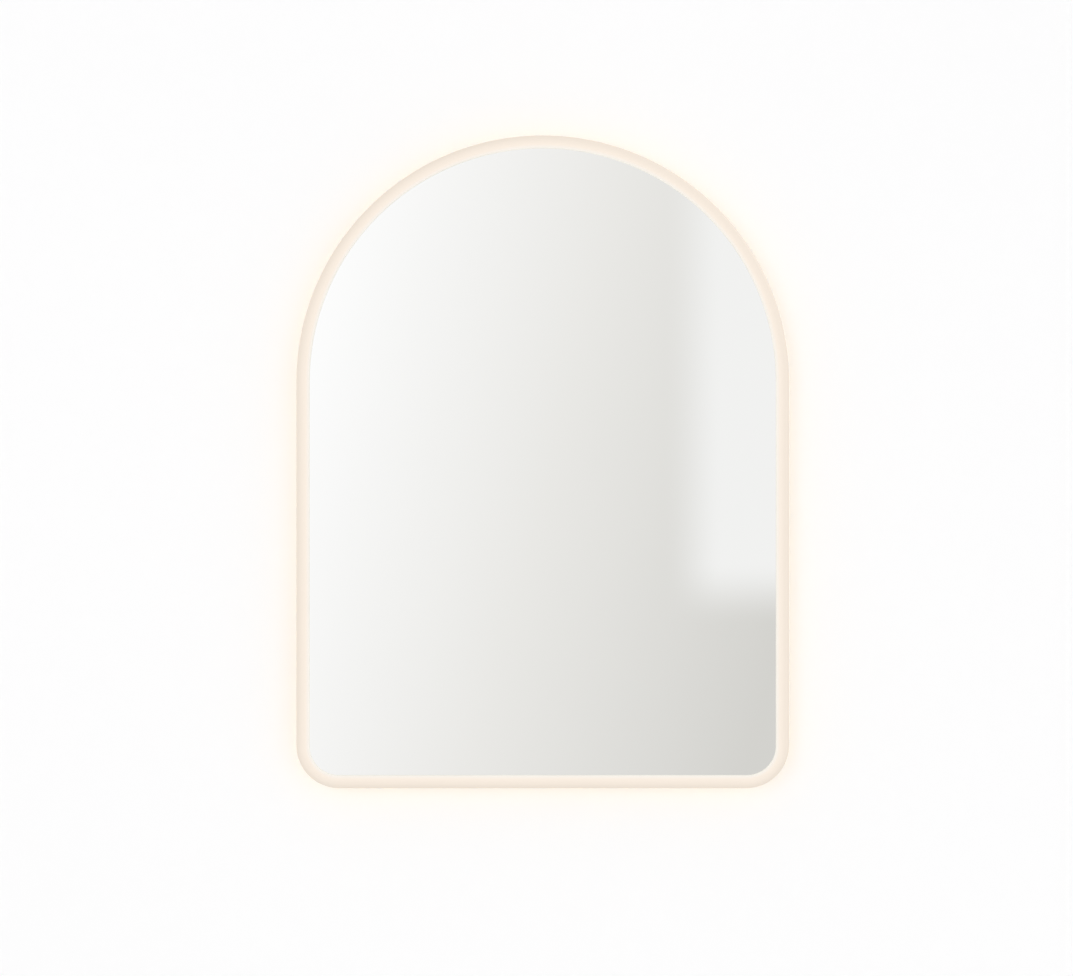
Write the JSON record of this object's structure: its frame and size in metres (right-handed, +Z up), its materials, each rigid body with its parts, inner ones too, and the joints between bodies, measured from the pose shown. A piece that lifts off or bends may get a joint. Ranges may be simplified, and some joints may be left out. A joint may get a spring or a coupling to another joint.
{
  "type": "lighted bathroom mirror",
  "caption": "Arched wall mirror with a glowing opal light band round its edge, hooked over a wall rail, with a wiring hatch and a push button behind.",
  "frame": {"origin": "middle of the wall rail's line of screw holes, on the wall plane", "axes": "+Z up, +Y into the wall, so the mirror faces -Y, and +X to the right of someone looking at it"},
  "size_m": [0.6, 0.045, 0.7949],
  "materials": {
    "mirror": "silvered float glass, polished edge",
    "backing": "grey paint under a clear safety film",
    "opal": "opal, satin, lit from inside",
    "foam": "white foam tape",
    "gasket": "closed-cell foam",
    "anodised": "satin anodised",
    "strip_board": "white flexible circuit",
    "phosphor": "silicone over warm phosphor",
    "tray_steel": "white powder coat, fine texture",
    "rail_steel": "galvanised",
    "zinc": "bright zinc",
    "rubber": "matt",
    "white_plastic": "moulded",
    "grey_plastic": "moulded",
    "amber_plastic": "moulded",
    "copper": "tinned copper",
    "green_board": "solder mask",
    "ferrite": "fired ferrite and tape",
    "can": "sleeved can",
    "lead_brown": "flexible PVC",
    "lead_blue": "flexible PVC",
    "lead_green": "flexible PVC",
    "lead_white": "flexible PVC",
    "stainless": "brushed stainless"
  },
  "bodies": {
    "wall_mount": {"wall_rail": "rail_steel"},
    "mirror_body": {"mirror_glass": "mirror", "backing_film": "backing", "glass_tape": "foam", "light_band": "opal", "frame_profile": "anodised", "frame_splice": "anodised", "splice_screws": "zinc", "led_strip": "strip_board", "phosphor_bead": "phosphor", "tray_rim": "tray_steel", "tray_panel": "tray_steel", "tray_gasket": "gasket", "tray_screws": "zinc", "wall_bumpers": "rubber", "hanger_rail": "rail_steel", "hanger_bar": "rail_steel", "hanger_screws": "zinc", "hanger_nuts": "zinc", "wiring_box": "white_plastic", "box_screws": "zinc", "box_nuts": "zinc", "cable_grommet": "rubber", "lid_bracket": "zinc", "bracket_rivets": "zinc", "lid_pin": "stainless", "terminal_block": "grey_plastic", "contact_clips": "copper", "driver_case": "white_plastic", "driver_lid": "white_plastic", "driver_board": "green_board", "driver_transformer": "ferrite", "driver_capacitors": "can", "driver_screws": "zinc", "driver_nuts": "zinc", "dimmer_case": "white_plastic", "dimmer_board": "green_board", "button_housing": "stainless", "button_spring": "zinc", "button_seal": "rubber", "button_nut": "zinc", "live_lead": "lead_brown", "neutral_lead": "lead_blue", "earth_lead": "lead_green", "earth_stud": "zinc", "earth_tag": "copper", "earth_nut": "zinc", "supply_lead": "lead_white", "strip_lead": "lead_white", "button_lead": "lead_white", "web_grommet": "rubber", "lead_clamps": "white_plastic"},
    "button": {"button_cap": "stainless"},
    "hatch_lid": {"wiring_lid": "white_plastic"},
    "lever_live": {"live_lever": "amber_plastic"},
    "lever_neutral": {"neutral_lever": "amber_plastic"},
    "lever_earth": {"earth_lever": "amber_plastic"}
  },
  "joints": [
    {"name": "lift_off", "type": "slide", "parent": "wall_mount", "child": "mirror_body", "axis": [0, 0, 1], "range_m": [0, 0.014]},
    {"name": "button_press", "type": "slide", "parent": "mirror_body", "child": "button", "axis": [0, 0, 1], "range_m": [0, 0.0015], "stiffness_N_per_m": 1500, "springref_m": -0.0007, "deforming": ["button_spring"]},
    {"name": "hatch_swing", "type": "hinge", "parent": "mirror_body", "child": "hatch_lid", "pos_m": [-0.109, -0.0046, -0.307], "axis": [1, 0, 0], "range_deg": [0, 110]},
    {"name": "live_clamp", "type": "hinge", "parent": "mirror_body", "child": "lever_live", "pos_m": [-0.097, -0.0243, -0.34], "axis": [0, 0, -1], "range_deg": [0, 85]},
    {"name": "neutral_clamp", "type": "hinge", "parent": "mirror_body", "child": "lever_neutral", "pos_m": [-0.097, -0.0243, -0.33], "axis": [0, 0, -1], "range_deg": [0, 85]},
    {"name": "earth_clamp", "type": "hinge", "parent": "mirror_body", "child": "lever_earth", "pos_m": [-0.097, -0.0243, -0.32], "axis": [0, 0, -1], "range_deg": [0, 85]}
  ]
}
